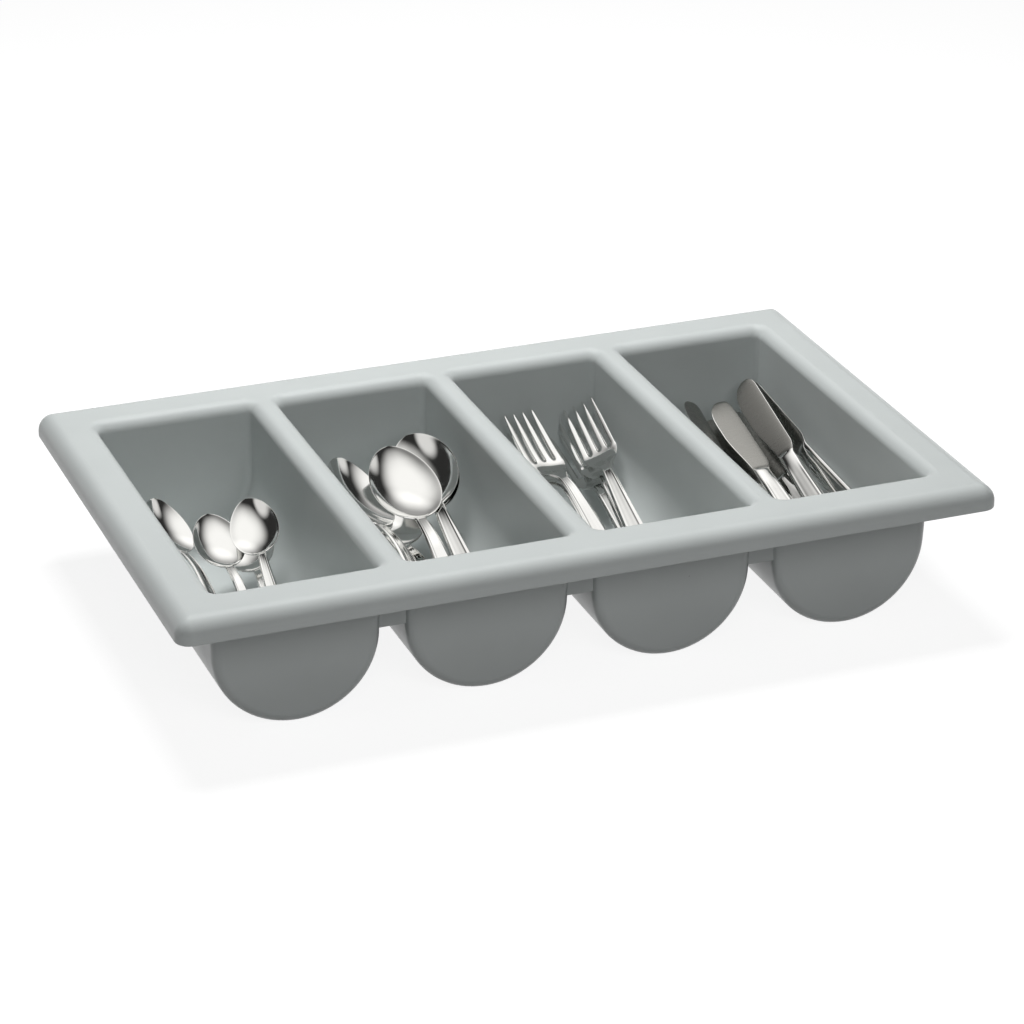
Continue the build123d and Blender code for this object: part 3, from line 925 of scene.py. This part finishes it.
# %% Camera
lens, sensor, far_end = 125.62, 36.0, 100.0
azimuth, elevation, roll = math.radians(-21.489), math.radians(25.411), math.radians(0.343)
distance, shift_right, shift_down, look_height = 2277.86, 3.162, 6.187, 60
camera_data = bpy.data.cameras.new("camera")
camera_data.lens = lens
camera_data.sensor_width = sensor
camera_data.clip_end = far_end
camera = bpy.data.objects.new("camera", camera_data)
turned = (
    Matrix.Rotation(azimuth, 4, "Z")
    @ Matrix.Rotation(math.pi / 2 - elevation, 4, "X")
    @ Matrix.Rotation(roll, 4, "Z")
)
position = (turned @ Vector((shift_right, -shift_down, distance)) + Vector((0, 0, look_height))) * mm
camera.matrix_world = Matrix.Translation(position) @ turned
bpy.context.scene.collection.objects.link(camera)
bpy.context.scene.camera = camera
print("camera at", [round(value, 4) for value in position])

# %% [markdown]
# The tray stands on white paper, which takes a soft shadow and throws some light back. To the camera
# and to mirrored rays it also glows, so that it looks white without lighting the tray more.

# %% A white table
table_half, paper_glow = 15.0, 0.88
table_mesh = bpy.data.meshes.new("table")
square = [(x * table_half, y * table_half, 0) for x, y in ((-1, -1), (1, -1), (1, 1), (-1, 1))]
table_mesh.from_pydata(square, [], [(0, 1, 2, 3)])
table = bpy.data.objects.new("table", table_mesh)
bpy.context.scene.collection.objects.link(table)
paper, tree = new_material("matt_white_paper")
ray = add_node(tree, "LightPath")
sees = (ray, "Is Camera Ray")
for kind in ("Is Glossy Ray", "Is Transmission Ray"):
    sees = (add_node(tree, "Math", {0: sees, 1: (ray, kind)}, operation="MAXIMUM"), "Value")
matt = add_node(tree, "BsdfDiffuse", {"Color": linear("#8A8A8A")})
glow = add_node(tree, "Emission", {"Color": linear("#FFFFFF"), "Strength": paper_glow})
both = add_node(tree, "AddShader", {0: (matt, "BSDF"), 1: (glow, "Emission")})
shown = add_node(tree, "MixShader", {0: sees, 1: (matt, "BSDF"), 2: (both, "Shader")})
add_node(tree, "OutputMaterial", {"Surface": (shown, "Shader")})
table_mesh.materials.append(paper)
print("table:", 2 * table_half, "m wide")

# %% [markdown]
# One softbox hangs over the tray's back, so the rim's top is bright and the faces towards the camera are
# darker. The other stands in front, so high that the skirt shades the tops of the troughs' ends. Steel
# would show a softbox as a hard square, so mirrored rays don't see them.

# %% Two softboxes
tray_middle = (0, 0, 0.05)


def softbox(name, position, width, height, watts):
    """A rectangular area light that faces the tray's middle."""
    data = bpy.data.lights.new(name, "AREA")
    data.shape = "RECTANGLE"
    data.size, data.size_y, data.energy = width, height, watts
    lamp = bpy.data.objects.new(name, data)
    lamp.location = position
    lamp.rotation_euler = (Vector(tray_middle) - Vector(position)).to_track_quat("-Z", "Y").to_euler()
    lamp.visible_glossy = False
    bpy.context.scene.collection.objects.link(lamp)
    return lamp


overhead = softbox("overhead_softbox", (0.0, 0.3, 1.25), 0.7, 0.5, 17.5)
front = softbox("front_softbox", (-0.3, -1.55, 1.12), 1.0, 0.9, 9)
print("softboxes:", overhead.data.energy, "and", front.data.energy, "W")

# %% [markdown]
# Mirrored rays see a painted room instead: white at the horizon, dark above it, with soft round patches
# of light. Each has a direction, the angle where it ends, the angle up to which it is full, and a
# brightness. The camera sees white, and matt surfaces get only a dim even light.

# %% The painted room
horizon_low, horizon_high, dark_level, dim_level = 0.05, 0.22, 0.03, 0.04
patches = (
    ((0.05, 0.30, 0.95), 46, 12, 1.15),
    ((0.30, 0.75, 0.59), 26, 6, 0.4),
    ((-0.85, 0.10, 0.50), 22, 8, 0.8),
    ((0.85, 0.05, 0.42), 18, 6, 0.8),
)
room = bpy.data.worlds.new("room")
room.use_nodes = True
bpy.context.scene.world = room
tree = room.node_tree
tree.nodes.clear()
direction = (add_node(tree, "TexCoord"), "Generated")
height = add_node(tree, "SeparateXYZ", {"Vector": direction})
horizon = {"From Min": horizon_low, "From Max": horizon_high, "To Min": 1.0, "To Max": dark_level}
levels = {"Value": (height, "Z"), **horizon}
painted = (add_node(tree, "MapRange", levels, interpolation_type="SMOOTHSTEP"), "Result")
for towards, outer, inner, brightness in patches:
    nearness = {0: direction, 1: Vector(towards).normalized()}
    nearness = (add_node(tree, "VectorMath", nearness, operation="DOT_PRODUCT"), "Value")
    edges = {"From Min": math.cos(math.radians(outer)), "From Max": math.cos(math.radians(inner))}
    levels = {"Value": nearness, **edges, "To Max": brightness}
    spot = add_node(tree, "MapRange", levels, interpolation_type="SMOOTHSTEP")
    painted = (add_node(tree, "Math", {0: painted, 1: (spot, "Result")}, operation="ADD"), "Value")
ray = add_node(tree, "LightPath")
white = add_node(tree, "Background", {"Color": linear("#FFFFFF"), "Strength": 1.0})
dim = add_node(tree, "Background", {"Color": linear("#FFFFFF"), "Strength": dim_level})
studio = add_node(tree, "Background", {"Color": linear("#FCFBF9"), "Strength": painted})
shades = {0: (ray, "Is Glossy Ray"), 1: (dim, "Background"), 2: (studio, "Background")}
lit = add_node(tree, "MixShader", shades)
seen = {0: (ray, "Is Camera Ray"), 1: (ray, "Is Transmission Ray")}
seen = (add_node(tree, "Math", seen, operation="MAXIMUM"), "Value")
both = add_node(tree, "MixShader", {0: seen, 1: (lit, "Shader"), 2: (white, "Background")})
add_node(tree, "OutputWorld", {"Surface": (both, "Shader")})
bpy.context.scene.view_settings.view_transform = "Standard"
print("room:", len(tree.nodes), "nodes,", len(patches), "patches of light")
